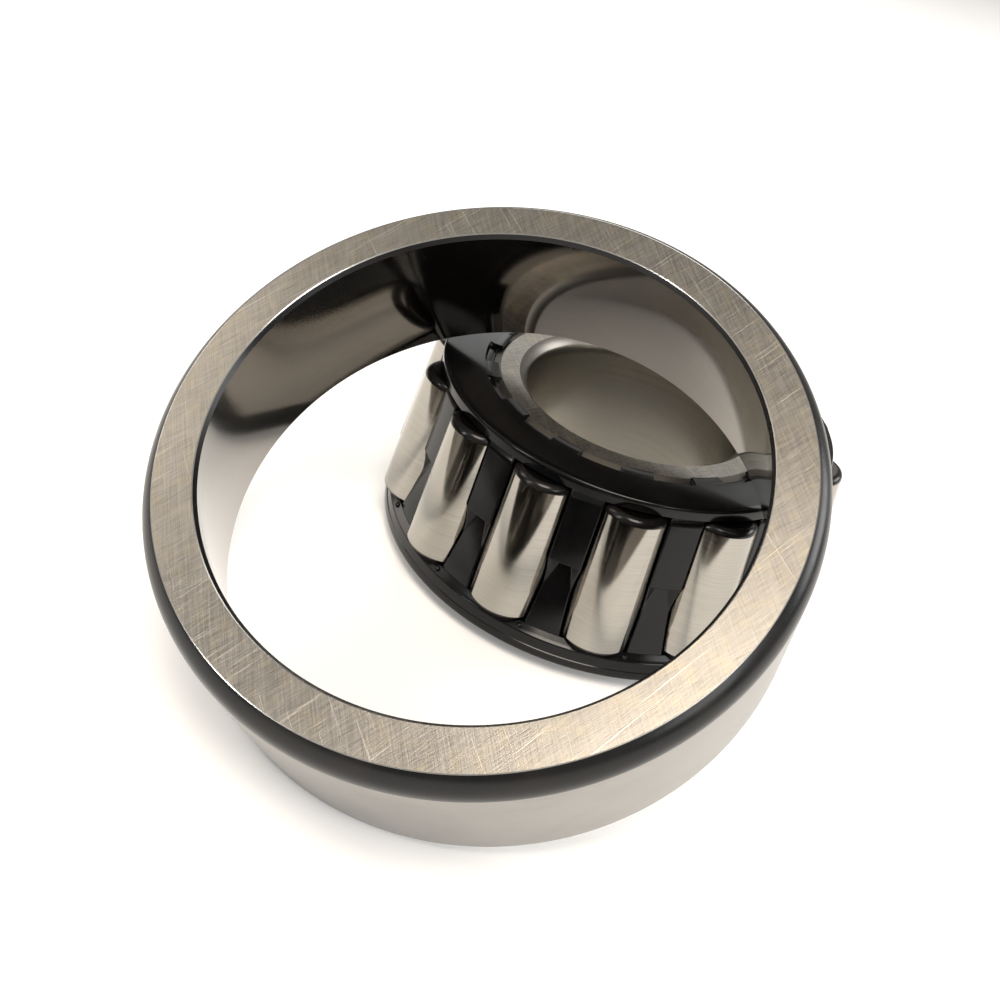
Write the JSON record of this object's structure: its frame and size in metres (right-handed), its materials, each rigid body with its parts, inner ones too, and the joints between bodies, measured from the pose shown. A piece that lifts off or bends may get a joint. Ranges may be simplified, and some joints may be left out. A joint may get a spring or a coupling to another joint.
{
  "type": "tapered roller bearing",
  "caption": "Separable tapered roller bearing: inner ring with caged tapered rollers standing upright, and its outer ring taken off and leaning on it.",
  "frame": {"origin": "on the bearing axis, at mid length of the inner ring's bore", "axes": "+Z along the bearing axis, out of the inner ring's narrow face; the leaning outer ring lies towards -Y"},
  "size_m": [0.08, 0.1185, 0.0573],
  "materials": {
    "ring_steel": "ground bearing steel with a dark heat-treated corner",
    "roller_steel": "polished bearing steel with dark end corners",
    "cage_plastic": "glossy moulded black polyamide"
  },
  "bodies": {
    "inner_ring": {"inner_ring": "ring_steel"},
    "cage": {"cage": "cage_plastic"},
    "outer_ring": {"outer_ring": "ring_steel"},
    "roller_01": {"roller_01": "roller_steel"},
    "roller_02": {"roller_02": "roller_steel"},
    "roller_03": {"roller_03": "roller_steel"},
    "roller_04": {"roller_04": "roller_steel"},
    "roller_05": {"roller_05": "roller_steel"},
    "roller_06": {"roller_06": "roller_steel"},
    "roller_07": {"roller_07": "roller_steel"},
    "roller_08": {"roller_08": "roller_steel"},
    "roller_09": {"roller_09": "roller_steel"},
    "roller_10": {"roller_10": "roller_steel"},
    "roller_11": {"roller_11": "roller_steel"},
    "roller_12": {"roller_12": "roller_steel"},
    "roller_13": {"roller_13": "roller_steel"},
    "roller_14": {"roller_14": "roller_steel"}
  },
  "joints": [
    {"name": "cage_spin", "type": "hinge", "parent": "inner_ring", "child": "cage", "pos_m": [0, 0, 0], "axis": [0, 0, 1], "continuous": true},
    {"name": "outer_ring_tip_up", "type": "hinge", "parent": "inner_ring", "child": "outer_ring", "pos_m": [0, -0.07143, -0.01425], "axis": [1, 0, 0], "range_deg": [0, 60]},
    {"name": "roller_01_spin", "type": "hinge", "parent": "cage", "child": "roller_01", "pos_m": [-0.01183, -0.0276, 0.00236], "axis": [0.0501, 0.1168, 0.9919], "continuous": true},
    {"name": "roller_02_spin", "type": "hinge", "parent": "cage", "child": "roller_02", "pos_m": [0.00132, -0.03, 0.00236], "axis": [-0.0056, 0.1269, 0.9919], "continuous": true},
    {"name": "roller_03_spin", "type": "hinge", "parent": "cage", "child": "roller_03", "pos_m": [0.0142, -0.02646, 0.00236], "axis": [-0.0601, 0.112, 0.9919], "continuous": true},
    {"name": "roller_04_spin", "type": "hinge", "parent": "cage", "child": "roller_04", "pos_m": [0.02428, -0.01768, 0.00236], "axis": [-0.1027, 0.0748, 0.9919], "continuous": true},
    {"name": "roller_05_spin", "type": "hinge", "parent": "cage", "child": "roller_05", "pos_m": [0.02954, -0.00539, 0.00236], "axis": [-0.125, 0.0228, 0.9919], "continuous": true},
    {"name": "roller_06_spin", "type": "hinge", "parent": "cage", "child": "roller_06", "pos_m": [0.02896, 0.00796, 0.00236], "axis": [-0.1225, -0.0337, 0.9919], "continuous": true},
    {"name": "roller_07_spin", "type": "hinge", "parent": "cage", "child": "roller_07", "pos_m": [0.02264, 0.01974, 0.00236], "axis": [-0.0958, -0.0835, 0.9919], "continuous": true},
    {"name": "roller_08_spin", "type": "hinge", "parent": "cage", "child": "roller_08", "pos_m": [0.01183, 0.0276, 0.00236], "axis": [-0.0501, -0.1168, 0.9919], "continuous": true},
    {"name": "roller_09_spin", "type": "hinge", "parent": "cage", "child": "roller_09", "pos_m": [-0.00132, 0.03, 0.00236], "axis": [0.0056, -0.1269, 0.9919], "continuous": true},
    {"name": "roller_10_spin", "type": "hinge", "parent": "cage", "child": "roller_10", "pos_m": [-0.0142, 0.02646, 0.00236], "axis": [0.0601, -0.112, 0.9919], "continuous": true},
    {"name": "roller_11_spin", "type": "hinge", "parent": "cage", "child": "roller_11", "pos_m": [-0.02428, 0.01768, 0.00236], "axis": [0.1027, -0.0748, 0.9919], "continuous": true},
    {"name": "roller_12_spin", "type": "hinge", "parent": "cage", "child": "roller_12", "pos_m": [-0.02954, 0.00539, 0.00236], "axis": [0.125, -0.0228, 0.9919], "continuous": true},
    {"name": "roller_13_spin", "type": "hinge", "parent": "cage", "child": "roller_13", "pos_m": [-0.02896, -0.00796, 0.00236], "axis": [0.1225, 0.0337, 0.9919], "continuous": true},
    {"name": "roller_14_spin", "type": "hinge", "parent": "cage", "child": "roller_14", "pos_m": [-0.02264, -0.01974, 0.00236], "axis": [0.0958, 0.0835, 0.9919], "continuous": true}
  ],
  "couplings": [
    {"joint": "roller_01_spin", "follows": "cage_spin", "ratio": 5.0741},
    {"joint": "roller_02_spin", "follows": "cage_spin", "ratio": 5.0741},
    {"joint": "roller_03_spin", "follows": "cage_spin", "ratio": 5.0741},
    {"joint": "roller_04_spin", "follows": "cage_spin", "ratio": 5.0741},
    {"joint": "roller_05_spin", "follows": "cage_spin", "ratio": 5.0741},
    {"joint": "roller_06_spin", "follows": "cage_spin", "ratio": 5.0741},
    {"joint": "roller_07_spin", "follows": "cage_spin", "ratio": 5.0741},
    {"joint": "roller_08_spin", "follows": "cage_spin", "ratio": 5.0741},
    {"joint": "roller_09_spin", "follows": "cage_spin", "ratio": 5.0741},
    {"joint": "roller_10_spin", "follows": "cage_spin", "ratio": 5.0741},
    {"joint": "roller_11_spin", "follows": "cage_spin", "ratio": 5.0741},
    {"joint": "roller_12_spin", "follows": "cage_spin", "ratio": 5.0741},
    {"joint": "roller_13_spin", "follows": "cage_spin", "ratio": 5.0741},
    {"joint": "roller_14_spin", "follows": "cage_spin", "ratio": 5.0741}
  ]
}
